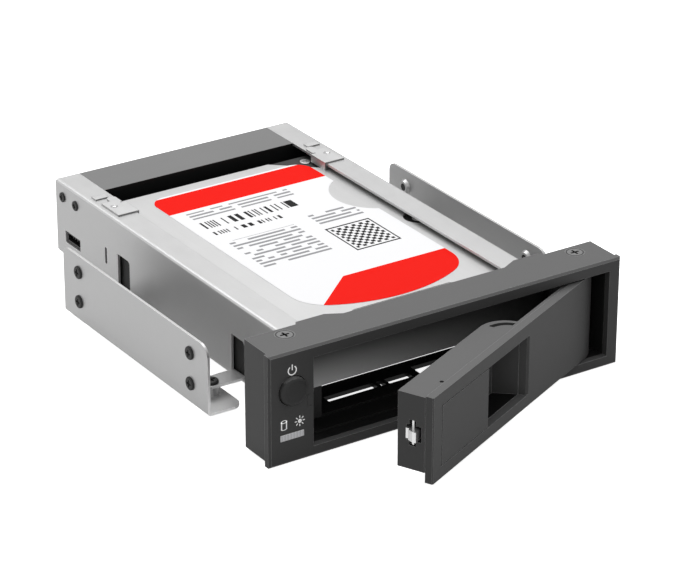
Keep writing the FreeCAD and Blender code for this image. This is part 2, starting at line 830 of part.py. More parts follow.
def latch_spring():
    start = tail_end + fit + spring_wire / 2
    end = stop_left - fit - spring_wire / 2
    helix = Part.makeHelix((end - start) / spring_turns, end - start, spring_radius - spring_wire / 2)
    helix.Placement = FreeCAD.Placement(V(start, bolt_front + spring_back, bolt_z),
                                        FreeCAD.Rotation(V(0, 0, 1), V(1, 0, 0)))
    first = helix.Vertexes[0].Point
    tangent = helix.Edges[0].tangentAt(helix.Edges[0].FirstParameter)
    ring = Part.Wire(Part.makeCircle(spring_wire / 2, first, tangent))
    return Part.Wire(helix.Edges).makePipeShell([ring], True, True)


# cage

def drive_cage():
    wall = box(half_cage - sheet, half_cage, cage_front, cage_rear, cage_bottom, cage_top)
    floor = box(-half_cage, half_cage, floor_front, cage_rear, cage_bottom, floor_top)
    flange = box(flange_in, half_cage, cage_front, cage_rear, cage_top - sheet, cage_top)
    body = join(both_sides(wall) + [floor] + both_sides(flange))
    for x in (-half_cage, half_cage):
        for z in (cage_bottom, cage_top):
            body = round_edges(body, bend, at_line("Y", x, z))
    inside = half_cage - 2 * sheet
    outside = half_cage + over
    cuts = [port_cut(-outside, -inside, 0)]
    for y in window_ys:
        cuts += both_sides(window_cut(y, inside, outside))
    cuts += both_sides(lens_slot(inside, outside))
    for y in side_screw_ys:
        cuts += both_sides(rod(housing_thread / 2, (inside, y, side_screw_z), (outside, y, side_screw_z)))
    for z in guide_screw_z:
        cuts += both_sides(rod(screw_thread / 2, (inside, guide_screw_y, z), (outside, guide_screw_y, z)))
    under = cage_bottom - over
    behind = cage_rear + over
    cuts.append(side_plate([(cage_rear - notch_y, under), (behind, under), (behind, cage_bottom + notch_z)],
                           -outside, outside))
    tabs = [tab for y in window_ys for tab in both_sides(lance_tab(y))]
    return join([body.cut(cuts + floor_cuts())] + tabs)


def port_cut(x0, x1, inset):
    return box(x0, x1, port_y + inset, port_y + port_long - inset,
               port_z + inset, port_z + port_high - inset)


def window_cut(y, inside, outside):
    opening = box(inside, outside, y, y + window_long, tab_high - sheet, window_top)
    return round_edges(opening, window_corner, at_line("X", y, window_top))


def lens_slot(inside, outside):
    slot = box(inside, outside, slot_y, slot_y + slot_wide, slot_z[0], slot_z[1])
    ends = [e for e in slot.Edges if e.BoundBox.YLength < 0.01 and e.BoundBox.ZLength < 0.01]
    return slot.makeFillet(slot_wide * 0.45, ends)


def lance_tab(y):
    reach = half_bracket - tab_in
    tab = box(half_cage - sheet, reach, y + tab_short, y + window_long, tab_high - sheet, tab_high)
    tab = round_edges(tab, tab_corner, lambda edge: upright(edge) and abs(edge.BoundBox.XMin - reach) < 0.01)
    x, screw_y = half_bracket - tab_screw_in, y + tab_screw_y
    return tab.cut(rod(screw_thread / 2, (x, screw_y, tab_high - 2 * sheet), (x, screw_y, tab_high + over)))


def floor_cuts():
    cuts = []
    inner = relief_in - floor_hole_wide
    for row in range(floor_hole_rows):
        y = floor_front + floor_hole_front + row * floor_hole_pitch
        hole = box(inner, relief_in, y, y + floor_hole_long, cage_bottom - over, floor_top + over)
        cuts += both_sides(round_edges(hole, floor_hole_corner, upright))
    return cuts


def top_clip():
    top = cage_top + clip_thick
    pad = clip_block(clip_pad, top)
    tongue = clip_block(clip_tongue, top)
    rear = housing_front - clip_tongue[3]
    tongue = round_edges(tongue, window_corner,
                         lambda edge: upright(edge) and abs(edge.BoundBox.YMin - rear) < 0.01)
    front = housing_front - clip_pad[2]
    hook = box(flange_in - hook_over, flange_in + hook_on, front, front + hook_long,
               cage_top - 2 * sheet - clip_thick, top)
    throat = box(flange_in - fit, flange_in + flange_wide, front - over, front + hook_long + over,
                 cage_top - 2 * sheet, cage_top)
    dimple_in, dimple_front = clip_dimple
    dimple = Part.makeSphere(bend + clip_thick,
                             V(flange_in + dimple_in, housing_front - dimple_front, top + bend))
    return [join([pad, tongue, hook.cut(throat)]).cut(dimple), clip_block(clip_step, top - fit)]


def clip_block(place, top):
    near, far, front, rear = place
    return box(flange_in + near, flange_in + far, housing_front - front, housing_front - rear, cage_top, top)


def cage_screws():
    reach = cheek_thick + fit + sheet
    screws = [pan_screw((half_guide, guide_screw_y, z), (1, 0, 0), reach, guide_head) for z in guide_screw_z]
    return screws + [mirror(screw) for screw in screws]


# rear housing and boards

def rear_housing():
    low = floor_top + fit
    under_flange = cage_top - sheet - fit
    body = box(-housing_half, housing_half, housing_front, housing_rear, low, under_flange)
    cap_half = flange_in - fit
    cap = box(-cap_half, cap_half, housing_front, housing_rear, under_flange - over, cage_top)
    body = join([body, cap])
    room_half = housing_half - housing_wall
    room = box(-room_half, room_half, housing_front + housing_wall, housing_rear - housing_wall, low - over,
               cage_top - housing_wall)
    window_back = housing_front + housing_wall + over
    cuts = [room, socket_block(socket_room, housing_front - over, window_back, 2 * run)]
    cuts += [rear_port_block(span, 4 * fit, housing_rear - 2 * housing_wall, cage_rear + over)
             for span in (data_port_x, power_port_x)]
    pillars = []
    holes = [port_cut(-housing_half - over, side_port_deep + 2 * fit - housing_half, run)]
    inner = housing_half - pillar_deep
    for y in side_screw_ys:
        pillar = box(inner, housing_half - over, y - pillar_half, y + pillar_half,
                     side_screw_z - pillar_below, cage_top - housing_wall)
        pillars += [side.common(body) for side in both_sides(pillar)]
        holes += both_sides(rod(housing_thread / 2, (inner + 5 * fit, y, side_screw_z),
                                (housing_half + over, y, side_screw_z)))
    return join([body.cut(cuts)] + pillars).cut(holes)


def socket_block(grow, front, back, rise):
    half = socket_wide / 2 + grow
    return box(-half, half, front, back, socket_low - rise, socket_low + socket_high + rise)


def rear_port_block(span, grow, front, back):
    return box(span[0] - grow, span[1] + grow, front, back, rear_port_z[0] - grow, rear_port_z[1] + grow)


def keyed(ends):
    margin, first_end, second_start = ends
    half = socket_wide / 2
    return [(margin - half, first_end - half), (second_start - half, half - margin)]


def drive_socket():
    tip = seated_rear - plug_depth
    base = socket_block(socket_flange, housing_front - socket_flange_thick, board_front, 4 * fit)
    nose = socket_block(0, tip, board_front, -2 * run)
    low, high = [socket_low + rise for rise in socket_key_z]
    grooves = [box(x0, x1, tip - over, housing_front - 3 * over, low, high) for x0, x1 in keyed(socket_keys)]
    return join([base, nose]).cut(grooves)


def backplane_board():
    half = flange_in - 2 * fit
    return box(-half, half, board_front, board_front + board_thick,
               floor_top + backplane_z[0], cage_top - backplane_z[1])


def rear_port(span):
    back = board_front + board_thick
    low, high = rear_port_z
    middle = (low + high) / 2
    body = box(span[0], span[1], back, cage_rear + rear_port_proud, low, high)
    room = box(span[0] + rear_port_wall, span[1] - rear_port_wall, back + rear_port_room,
               cage_rear + 2 * rear_port_proud, low + rear_port_rim, high - rear_port_rim)
    blade = box(span[0] + rear_blade_in, span[1] - rear_blade_in, back + rear_port_room - over,
                cage_rear + 2 * run, middle - rear_blade_half, middle + rear_blade_half)
    return join([body.cut(room), blade])


def side_port():
    left = -housing_half
    inset = run + 2 * fit
    body = port_cut(left - 4 * fit, left + side_port_deep, inset)
    room = port_cut(left - over, left + side_port_room, inset + side_port_wall)
    middle = port_z + port_high / 2
    half = side_pin / 2
    pin_ys = [port_y + port_long * part for part in side_pins]
    pins = [box(left + side_pin, left + side_pin_end, y, y + side_pin, middle - half, middle + half)
            for y in pin_ys]
    return join([body.cut(room)] + pins)


def housing_screws():
    screws = [pan_screw((half_cage, y, side_screw_z), (1, 0, 0), 6.0, housing_head, housing_thread)
              for y in side_screw_ys]
    return screws + [mirror(screw) for screw in screws]


# brackets

def right_bracket():
    side = [(bracket_front, bracket_bottom), (bracket_rear, bracket_bottom),
            (bracket_rear, bracket_top), (bracket_front, bracket_top)]
    wall = side_plate(side, half_bracket - sheet, half_bracket)
    wall = round_edges(wall, corner_front, at_line("X", bracket_front, bracket_top))
    wall = round_edges(wall, corner_rear, at_line("X", bracket_rear, bracket_top))
    inner = half_bracket - foot_wide
    foot_top = bracket_bottom + sheet
    foot = box(inner, half_bracket, bracket_front, bracket_rear, bracket_bottom, foot_top)
    foot = round_edges(foot, foot_corner,
                       lambda edge: upright(edge) and abs(edge.BoundBox.XMin - inner) < 0.01)
    body = round_edges(join([wall, foot]), bend, at_line("Y", half_bracket, bracket_bottom))
    added = []
    cuts = []
    face = half_bracket - sheet
    for y in hole_ys:
        for z in hole_zs:
            added.append(cone(*collar_radius, (face, y, z), (face - collar_long, y, z)))
            cuts.append(rod(screw_thread / 2, (face - 3 * over, y, z), (half_bracket + over, y, z)))
        x = half_bracket - bottom_hole_in
        cuts.append(rod(screw_thread / 2 + fit, (x, y, 0), (x, y, foot_top + over)))
    for x, y in tab_screws_at:
        added.append(cone(*spacer_radius, (x, y, foot_top), (x, y, tab_high - sheet)))
        cuts.append(rod(screw_thread / 2, (x, y, 0), (x, y, tab_high + over)))
    return join([body] + added).cut(cuts)


def bracket_screws():
    places = [(half_bracket, y, z) for y in hole_ys for z in hole_zs]
    return [pan_screw(place, (1, 0, 0), sheet + collar_long, side_head) for place in places]


def tab_screws():
    reach = tab_high - bracket_bottom
    screws = [pan_screw((x, y, tab_high), (0, 0, 1), reach, tab_head) for x, y in tab_screws_at]
    return screws + [mirror(screw) for screw in screws]


# drive

def lid_screw_places():
    half = drive_wide / 2
    side, rear_right, rear_left, front = [half - inset for inset in lid_screw_in]
    middle_y = drive_front + drive_long / 2
    front_y = drive_front + lid_screw_front
    return [(side, middle_y), (-side, middle_y), (rear_right, drive_rear - lid_screw_rear[0]),
            (-rear_left, drive_rear - lid_screw_rear[1]), (front, front_y), (-front, front_y)]


def drive_casting():
    half = drive_wide / 2
    top = drive_top - cover_thick - label_thick
    body = box(-half, half, drive_front, drive_rear, drive_low, top)
    body = round_edges(body, body_corner, upright)
    inside = half - rail_wide
    under = drive_low - over
    board_end = drive_rear - board_long
    room = half - drive_board_side + over
    hollow_back = drive_front + hollow_deep
    cuts = [box(-inside, inside, drive_front - over, hollow_back, under, drive_low + hollow_high),
            box(-inside, inside, hollow_back - over, board_end, under, drive_low + belly_high),
            box(-room, room, board_end - over, drive_rear - board_room_end, under,
                drive_low + board_room_high),
            socket_block(2 * over, drive_rear - plug_front - 2 * fit, drive_rear + over, 1.4 + socket_rise)]
    for x, y in lid_screw_places():
        cuts.append(rod(screw_thread / 2, (x, y, top - lid_screw_long), (x, y, top + over)))
    for back in side_mounts:
        y = drive_rear - back
        z = drive_low + side_mount_z
        cuts += both_sides(rod(mount_hole_radius, (half - mount_hole_deep, y, z), (half + over, y, z)))
    for back in under_mounts:
        x = half - under_mount_in
        y = drive_rear - back
        cuts += both_sides(rod(mount_hole_radius, (x, y, under), (x, y, drive_low + mount_hole_deep)))
    y = drive_front + motor_y
    low, high = [drive_low + rise for rise in motor_z]
    return join([body.cut(cuts), rod(motor_radius, (0, y, low), (0, y, high))])


def drive_cover():
    top = drive_top - label_thick
    half = drive_wide / 2 - lid_in
    front = drive_front + lid_in
    rear = drive_rear - lid_in
    x0, x1, y1, y0 = lid_rear_right
    x2, x3, y2, y3 = lid_rear_left
    outline = [(-half, front + lid_corner), (lid_corner - half, front), (half - lid_corner, front),
               (half, front + lid_corner), (half, rear - y0), (half - x1, rear - y1), (half - x0, rear),
               (x2 - half, rear), (x3 - half, rear - y2), (-half, rear - y3)]
    lid = plate(outline, top - cover_thick, top)
    radii = [lid_recess_radius] + 5 * [lid_screw[0] / 2 + 2 * run]
    cuts = [rod(radius, (x, y, top - 2 * over), (x, y, top + over))
            for radius, (x, y) in zip(radii, lid_screw_places())]
    step = box(*lid_step_x, drive_front + lid_step_y[0], drive_front + lid_step_y[1],
               top - cover_thick / 2, top + over)
    cuts.append(round_edges(step, foot_corner, upright))
    return lid.cut(cuts)


def lid_screws():
    base = drive_top - cover_thick - label_thick
    return [pan_screw((x, y, base), (0, 0, 1), lid_screw_long, lid_screw) for x, y in lid_screw_places()]


def drive_label():
    left = label_in[0] - drive_wide / 2
    right = drive_wide / 2 - label_in[1]
    tip = drive_front + label_ends[0]
    rear = drive_rear - label_ends[1]
    bow = math.radians(label_bow)
    inset = label_corner * (1 - math.sin(bow))
    bow_half = (right - left) / 2 - inset
    bow_end = tip + bow_half * math.tan(bow / 2)
    side = bow_end + label_corner * math.cos(bow)
    half_turn = math.radians(90 - label_bow) / 2
    cut_in = label_corner * (1 - math.cos(half_turn))
    cut_low = side - label_corner * math.sin(half_turn)
    scoop = [rear - behind for behind in label_scoop]
    ease = label_round * (1 - math.sin(math.pi / 4))
    edges = [arc((left, side), (left + cut_in, cut_low), (left + inset, bow_end)),
             arc((left + inset, bow_end), ((left + right) / 2, tip), (right - inset, bow_end)),
             arc((right - inset, bow_end), (right - cut_in, cut_low), (right, side)),
             line((right, side), (right, scoop[0])),
             arc((right, scoop[0]), (right - label_scoop_deep, scoop[1]), (right, scoop[2])),
             line((right, scoop[2]), (right, rear - label_round)),
             arc((right, rear - label_round), (right - ease, rear - ease), (right - label_round, rear)),
             line((right - label_round, rear), (left + label_round, rear)),
             arc((left + label_round, rear), (left + ease, rear - ease), (left, rear - label_round)),
             line((left, rear - label_round), (left, side))]
    return raise_outline(edges, drive_top - label_thick, drive_top)


def drive_board():
    half = drive_wide / 2 - drive_board_side
    low, high = [drive_low + rise for rise in drive_board_z]
    return box(-half, half, drive_rear - board_long, drive_rear - drive_board_end, low, high)


def drive_plug():
    body = socket_block(6 * run, drive_rear - plug_front, drive_rear - 2 * fit, 4 * run)
    room = socket_block(run, drive_rear - plug_room, drive_rear + over, -run)
    front, back = [drive_rear - before for before in blade_y]
    low, high = [socket_low + rise for rise in blade_z]
    blades = [box(x0, x1, front, back, low, high) for x0, x1 in keyed(plug_blades)]
    return join([body.cut(room)] + blades)


def main():
    os.makedirs("parts", exist_ok=True)
    save("front_bezel", front_bezel())
    save("bezel_frame", bezel_frame())
    save("bezel_screws", bezel_screws())
    save("strike_catch", strike_catch())
    save("led_window", led_window())
    save("power_button", power_button())
    save("button_switch", button_switch())
    save("front_board", front_board())
    save("hinge_pins", hinge_pins())
    save("door_panel", swing(door_panel()))
    save("door_back", swing(door_back()))
    save("door_handle", swing(door_handle()))
    save("handle_pin", swing(handle_pin()))
    save("latch_bolt", swing(latch_bolt()))
    save("latch_spring", swing(latch_spring()))
    save("drive_cage", drive_cage())
    save("cage_screws", cage_screws())
    save("right_top_clip", top_clip())
    save("left_top_clip", [mirror(piece) for piece in top_clip()])
    save("rear_housing", rear_housing())
    save("housing_screws", housing_screws())
    save("backplane_board", backplane_board())
    save("drive_socket", drive_socket())
    save("data_port", rear_port(data_port_x))
    save("power_port", rear_port(power_port_x))
    save("side_port", side_port())
    save("right_bracket", right_bracket())
    save("left_bracket", mirror(right_bracket()))
    save("right_bracket_screws", bracket_screws())
    save("left_bracket_screws", [mirror(screw) for screw in bracket_screws()])
    save("tab_screws", tab_screws())
    save("drive_casting", drive_casting())
    save("drive_cover", drive_cover())
    save("lid_screws", lid_screws())
    save("drive_label", drive_label())
    save("drive_board", drive_board())
    save("drive_plug", drive_plug())


main()
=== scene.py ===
import bpy
import bmesh
import math
from mathutils import Matrix, Vector


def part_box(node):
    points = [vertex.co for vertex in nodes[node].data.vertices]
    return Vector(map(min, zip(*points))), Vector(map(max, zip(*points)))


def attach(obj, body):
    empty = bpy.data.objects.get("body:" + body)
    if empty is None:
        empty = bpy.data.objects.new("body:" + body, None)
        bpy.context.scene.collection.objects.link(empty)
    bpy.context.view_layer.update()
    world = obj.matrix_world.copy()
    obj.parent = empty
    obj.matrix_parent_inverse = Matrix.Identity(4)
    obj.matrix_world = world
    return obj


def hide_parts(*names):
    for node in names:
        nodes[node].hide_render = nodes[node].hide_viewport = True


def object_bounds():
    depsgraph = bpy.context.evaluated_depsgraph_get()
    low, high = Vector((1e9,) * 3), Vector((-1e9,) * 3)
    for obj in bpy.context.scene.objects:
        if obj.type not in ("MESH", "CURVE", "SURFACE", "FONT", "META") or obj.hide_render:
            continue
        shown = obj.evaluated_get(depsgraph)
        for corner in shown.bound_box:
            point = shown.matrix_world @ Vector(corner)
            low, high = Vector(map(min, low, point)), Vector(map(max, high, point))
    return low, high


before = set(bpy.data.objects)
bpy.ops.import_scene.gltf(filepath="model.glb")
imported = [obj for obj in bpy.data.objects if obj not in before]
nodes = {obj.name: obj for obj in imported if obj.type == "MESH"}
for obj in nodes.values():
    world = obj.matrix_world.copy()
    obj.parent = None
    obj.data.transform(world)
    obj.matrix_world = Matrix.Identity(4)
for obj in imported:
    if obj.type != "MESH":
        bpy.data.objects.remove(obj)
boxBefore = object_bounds()
mm = 0.001
bezelLow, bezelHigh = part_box("front_bezel")
print("frame loaded:", len(nodes), "nodes")


# millimetres from the bezel's face and bottom edge, turned into the frame's metres
def spot(x, y, z):
    return Vector((x * mm, bezelLow.y + y * mm, bezelLow.z + z * mm))


# a socket that plain maths works on
class Wire:
    def __init__(self, tree, socket):
        self.tree = tree
        self.socket = socket

    def other(self, name):
        return Wire(self.tree, self.socket.node.outputs[name])

    def __add__(self, other):
        return maths("ADD", self, other)

    def __radd__(self, other):
        return maths("ADD", other, self)

    def __sub__(self, other):
        return maths("SUBTRACT", self, other)

    def __rsub__(self, other):
        return maths("SUBTRACT", other, self)

    def __mul__(self, other):
        return maths("MULTIPLY", self, other)

    def __rmul__(self, other):
        return maths("MULTIPLY", other, self)

    def __truediv__(self, other):
        return maths("DIVIDE", self, other)

    def __rtruediv__(self, other):
        return maths("DIVIDE", other, self)

    def __gt__(self, other):
        return maths("GREATER_THAN", self, other)

    def __lt__(self, other):
        return maths("LESS_THAN", self, other)


def maths(operation, first, second=0.0):
    tree = first.tree if isinstance(first, Wire) else second.tree
    return addNode(tree, "ShaderNodeMath", {"operation": operation}, {0: first, 1: second})


# settings go on the node first, then values or links go into its sockets
def addNode(tree, kind, settings, values, output=0):
    node = tree.nodes.new(kind)
    for setting, value in settings.items():
        if setting == "stops":
            fillRamp(node.color_ramp, value)
        else:
            setattr(node, setting, value)
    for socket, value in values.items():
        fill(node.inputs[socket], value)
    return Wire(tree, node.outputs[output]) if node.outputs else None


def fill(socket, value):
    if isinstance(value, Wire):
        value.tree.links.new(value.socket, socket)
    else:
        socket.default_value = value


def fillRamp(colourRamp, stops):
    while len(colourRamp.elements) < len(stops):
        colourRamp.elements.new(0.5)
    for element, (position, colour) in zip(colourRamp.elements, stops):
        element.position = position
        element.color = colour


def grey(value):
    return (value, value, value, 1)


# one material: a Principled shader and what feeds it
class Finish:
    def __init__(self, name, constants):
        self.material = bpy.data.materials.new(name)
        self.material.use_nodes = True
        self.tree = self.material.node_tree
        self.tree.nodes.clear()
        shader = self.add("ShaderNodeBsdfPrincipled", {}, constants)
        self.inputs = shader.socket.node.inputs
        self.add("ShaderNodeOutputMaterial", {}, {"Surface": shader})
        self.place = self.add("ShaderNodeTexCoord", {}, {}, "Object")
        split = self.add("ShaderNodeSeparateXYZ", {}, {0: self.place}, "X")
        self.x, self.y, self.z = split, split.other("Y"), split.other("Z")

    def add(self, kind, settings, values, output=0):
        return addNode(self.tree, kind, settings, values, output)

    def feed(self, socket, value):
        fill(self.inputs[socket], value)

    def blend(self, factor, first, second):
        return self.add("ShaderNodeMix", {"data_type": "RGBA"}, {0: factor, 6: first, 7: second}, 2)

    def noise(self, scale, detail=3.0, roughness=0.5, stretch=(1, 1, 1)):
        spread = self.add("ShaderNodeMapping", {}, {"Vector": self.place, "Scale": stretch})
        return self.add("ShaderNodeTexNoise", {},
                        {"Vector": spread, "Scale": scale, "Detail": detail, "Roughness": roughness})

    def softEdges(self, radius):
        return self.add("ShaderNodeBevel", {"samples": 6}, {"Radius": radius})

    # how far the true face turns to a direction, or to a bevel's normal, which finds the edges
    def facing(self, direction):
        face = self.add("ShaderNodeNewGeometry", {}, {}, "True Normal")
        return self.add("ShaderNodeVectorMath", {"operation": "DOT_PRODUCT"}, {0: face, 1: direction}, "Value")

    def edgeLine(self, edges, turn=0.97):
        return self.facing(edges) < turn

    def between(self, value, start, end):
        return self.add("ShaderNodeMapRange", {}, {"Value": value, "From Min": start, "From Max": end})

    def bump(self, height, strength, distance, edges=None):
        values = {"Height": height, "Strength": strength, "Distance": distance}
        if edges is not None:
            values["Normal"] = edges
        return self.add("ShaderNodeBump", {}, values)


up, front, back = (0, 0, 1), (0, -1, 0), (0, 1, 0)

mouldedCharcoal = {
    "dark": 0.068,
    "pale": 0.08,
    "paintedTopLight": 0.4,            # how much of the lighter colour lies on level faces, a painted light from above
    "paintedTopLightColour": 0.2,
    # the edges' colour, a painted highlight
    "paintedEdgeShading": 0.34,
    "roughness": 0.38,
    "cloud": 38,
    "grain": 2600,
    "grainDepth": 0.03 * mm,
    "edge": 0.2 * mm,
    "seamRoom": 0.6 * mm,   # round the strike catch, where no painted edge highlight is drawn
    # the colour of the painted shade
    "hollowColour": 0.008,
}


# the painted shade setting gives a direction and a height, and faces that way below it are painted black, a
# painted shade
def charcoalPlastic(name, changes=None):
    settings = {**mouldedCharcoal, **(changes or {})}
    finish = Finish(name, {"Specular IOR Level": 0.2})
    cloud = finish.noise(settings["cloud"], 2)
    grain = finish.noise(settings["grain"], 2, 0.6)
    edges = finish.softEdges(settings["edge"])
    plain = finish.blend(cloud, grey(settings["dark"]), grey(settings["pale"]))
    # faces that face up are painted lighter, a painted light from above
    paintedTopLit = (finish.facing(up) > 0.7) * settings["paintedTopLight"]
    plain = finish.blend(paintedTopLit, plain, grey(settings["paintedTopLightColour"]))
    if "hollow" in settings:
        direction, height = settings["hollow"]
        # faces that way below the height are painted black, a painted shade
        hollow = (finish.facing(direction) > 0.5) * (finish.z < height)
        plain = finish.blend(hollow, plain, grey(settings["hollowColour"]))
    low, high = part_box("strike_catch")
    room = settings["seamRoom"]
    seam = (finish.x > low.x - room) * (finish.x < high.x + room)
    seam = seam * (finish.z > low.z) * (finish.z < high.z + room)
    # edges are painted lighter, a painted highlight, except round the strike catch
    paintedEdgeShading = finish.edgeLine(edges) * (seam < 0.5)
    finish.feed("Base Color", finish.blend(paintedEdgeShading, plain, grey(settings["paintedEdgeShading"])))
    finish.feed("Roughness", settings["roughness"] + 0.08 * cloud)
    finish.feed("Normal", finish.bump(grain, 0.12, settings["grainDepth"], edges))
    return finish.material


innerBlack = {"dark": 0.012, "pale": 0.018, "roughness": 0.28, "cloud": 60, "edge": 0.2 * mm}


def glossyBlack(name, settings=innerBlack):
    finish = Finish(name, {"Coat Weight": 0.15, "Coat Roughness": 0.2})
    cloud = finish.noise(settings["cloud"], 3)
    finish.feed("Base Color", finish.blend(cloud, grey(settings["dark"]), grey(settings["pale"])))
    finish.feed("Roughness", settings["roughness"] + 0.1 * cloud)
    finish.feed("Normal", finish.softEdges(settings["edge"]))
    return finish.material


zincSheet = {
    "dark": 0.56,
    "pale": 0.62,
    "cut": 0.95,            # faces that face forwards, mostly the sheet's cut edges, painted near white as a painted highlight
    "paintedEdgeShading": 0.8,             # painted highlight on bends and corners
    "bend": (0.25, 0.93),
    "floorHalf": 45 * mm,   # the cage's floor, whose edges stay plain
    "floorHigh": 10 * mm,
    "roughness": 0.34,
    "spangle": 170,
    "streaks": 900,
    "streakDepth": 0.02 * mm,
    "edge": 0.2 * mm,
}


def zincSteel(name, changes=None):
    settings = {**zincSheet, **(changes or {})}
    finish = Finish(name, {"Metallic": 0.75})
    spangle = finish.noise(settings["spangle"], 4, 0.6)
    streaks = finish.noise(settings["streaks"], 2, 0.5, (1, 0.03, 1))
    tone = 0.7 * spangle + 0.3 * streaks
    edges = finish.softEdges(settings["edge"])
    plain = finish.blend(tone, grey(settings["dark"]), grey(settings["pale"]))
    start, end = settings["bend"]
    rise = finish.facing(up)
    lengthwise = (finish.facing(front) < 0.1) * (finish.facing(back) < 0.1)
    bent = (rise > start) * (rise < end) * lengthwise
    aside = (finish.x > settings["floorHalf"]) + (finish.x < -settings["floorHalf"])
    outside = aside + (finish.z > settings["floorHigh"]) > 0.5
    # bends and edges get a painted highlight, except on the cage's floor
    paintedEdgeShading = (finish.edgeLine(edges) + bent > 0.5) * outside
    # faces that face forwards are painted in one tone, a painted highlight, except on the cage's floor
    cut = (finish.facing(front) > 0.98) * outside
    withPaintedEdges = finish.blend(paintedEdgeShading, plain, grey(settings["paintedEdgeShading"]))
    finish.feed("Base Color", finish.blend(cut, withPaintedEdges, grey(settings["cut"])))
    finish.feed("Roughness", settings["roughness"] + 0.16 * tone)
    finish.feed("Normal", finish.bump(streaks, 0.05, settings["streakDepth"], edges))
    return finish.material


# the screws' edge colour is a painted highlight
blackZinc = {"dark": 0.035, "pale": 0.056, "paintedEdgeShading": 0.1, "roughness": 0.38, "wear": 900, "edge": 0.12 * mm}


def blackScrewSteel(name, settings=blackZinc):
    finish = Finish(name, {"Metallic": 0.6})
    wear = finish.noise(settings["wear"], 3, 0.7)
    worn = finish.add("ShaderNodeValToRGB", {"stops": [(0.55, grey(0)), (0.75, grey(1))]}, {0: wear})
    edges = finish.softEdges(settings["edge"])
    plain = finish.blend(worn, grey(settings["dark"]), grey(settings["pale"]))
    finish.feed("Base Color", finish.blend(finish.edgeLine(edges), plain, grey(settings["paintedEdgeShading"])))
    finish.feed("Roughness", settings["roughness"] + 0.15 * wear)
    finish.feed("Normal", edges)
    return finish.material


sunkHead = {
    "dark": 0.16,
    "pale": 0.224,
    "wear": 900,
    # the dark ring and the dark cross are painted shade
    "groove": 0.02,
    "grooveRing": (0.8, 0.93),  # shares of the head's radius
    "cross": 0.01,
    "crossDepth": 0.1 * mm,
}


# the bezel's two screws: a grey head with a dark ring of painted shade near its edge and a cross painted dark,
# a painted shade
def sunkScrewSteel(name, node, settings=sunkHead):
    finish = Finish(name, {"Metallic": 0.3, "Roughness": 0.45})
    low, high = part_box(node)
    radius = (high.y - low.y) / 2
    aside = maths("ABSOLUTE", finish.x - (low.x + high.x) / 2)
    across = aside - ((high.x - low.x) / 2 - radius)
    along = finish.y - (low.y + high.y) / 2
    reach = across * across + along * along
    inner, outer = settings["grooveRing"]
    groove = (reach > (inner * radius) ** 2) * (reach < (outer * radius) ** 2)
    plain = finish.blend(finish.noise(settings["wear"], 3), grey(settings["dark"]), grey(settings["pale"]))
    plain = finish.blend(finish.z < high.z - settings["crossDepth"], plain, grey(settings["cross"]))
    finish.feed("Base Color", finish.blend(groove, plain, grey(settings["groove"])))
    return finish.material


coverMetal = {
    "dark": 0.62,
    "pale": 0.68,
    "roughness": 0.35,
    "streaks": 1400,
    "cloud": 45,
    "streakDepth": 0.02 * mm,
    "edge": 0.2 * mm,
}


def pressedAluminium(name, settings=coverMetal):
    finish = Finish(name, {"Metallic": 0.7})
    streaks = finish.noise(settings["streaks"], 2, 0.5, (1, 0.02, 1))
    cloud = finish.noise(settings["cloud"], 2)
    tone = 0.5 * streaks + 0.5 * cloud
    finish.feed("Base Color", finish.blend(tone, grey(settings["dark"]), grey(settings["pale"])))
    finish.feed("Roughness", settings["roughness"] + 0.1 * tone)
    edges = finish.softEdges(settings["edge"])
    finish.feed("Normal", finish.bump(streaks, 0.04, settings["streakDepth"], edges))
    return finish.material


castMetal = {
    "dark": 0.02,
    "pale": 0.05,
    "paintedReflection": 0.7,           # a painted reflection, strongest at the front's lower left, none at its right and top
    "paintedReflectionLow": 12 * mm,
    "paintedReflectionRoom": 0.1 * mm,
    "roughness": 0.5,
    "lumps": 420,
    "lumpDepth": 0.03 * mm,
}


def darkCasting(name, node, settings=castMetal):
    finish = Finish(name, {"Metallic": 0.3})
    lumps = finish.noise(settings["lumps"], 4, 0.65)
    low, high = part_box(node)
    rails = low.z + settings["paintedReflectionLow"]
    # a painted reflection on the front faces, fading to the right and to the top
    paintedReflection = finish.between(finish.x, high.x, low.x) * finish.between(finish.z, high.z, rails)
    paintedReflection = (finish.facing(front) > 0.7) * paintedReflection * (finish.z > rails - settings["paintedReflectionRoom"])
    plain = finish.blend(lumps, grey(settings["dark"]), grey(settings["pale"]))
    finish.feed("Base Color", finish.blend(paintedReflection, plain, grey(settings["paintedReflection"])))
    finish.feed("Roughness", settings["roughness"] + 0.2 * lumps)
    finish.feed("Normal", finish.bump(lumps, 0.15, settings["lumpDepth"]))
    return finish.material


turnedSteel = {"turns": 2200, "turnDepth": 0.01 * mm, "edge": 0.12 * mm}


def brightSteel(name, tone, roughness, settings=turnedSteel):
    finish = Finish(name, {"Metallic": 1.0})
    turned = finish.noise(settings["turns"], 2, 0.5, (1, 1, 0.05))
    finish.feed("Base Color", finish.blend(turned, grey(tone * 0.9), grey(tone)))
    finish.feed("Roughness", roughness + 0.12 * turned)
    edges = finish.softEdges(settings["edge"])
    finish.feed("Normal", finish.bump(turned, 0.05, settings["turnDepth"], edges))
    return finish.material


board = {"mask": (0.012, 0.09, 0.045, 1), "track": (0.02, 0.15, 0.07, 1), "grid": 900, "trackDepth": 0.03 * mm}


def boardGreen(name, settings=board):
    finish = Finish(name, {"Roughness": 0.3, "Coat Weight": 0.3})
    cells = finish.add("ShaderNodeTexVoronoi", {"distance": "MANHATTAN"},
                       {"Vector": finish.place, "Scale": settings["grid"], "Randomness": 0.6})
    tracks = cells > 0.45
    finish.feed("Base Color", finish.blend(tracks, settings["mask"], settings["track"]))
    finish.feed("Normal", finish.bump(tracks, 0.3, settings["trackDepth"]))
    return finish.material


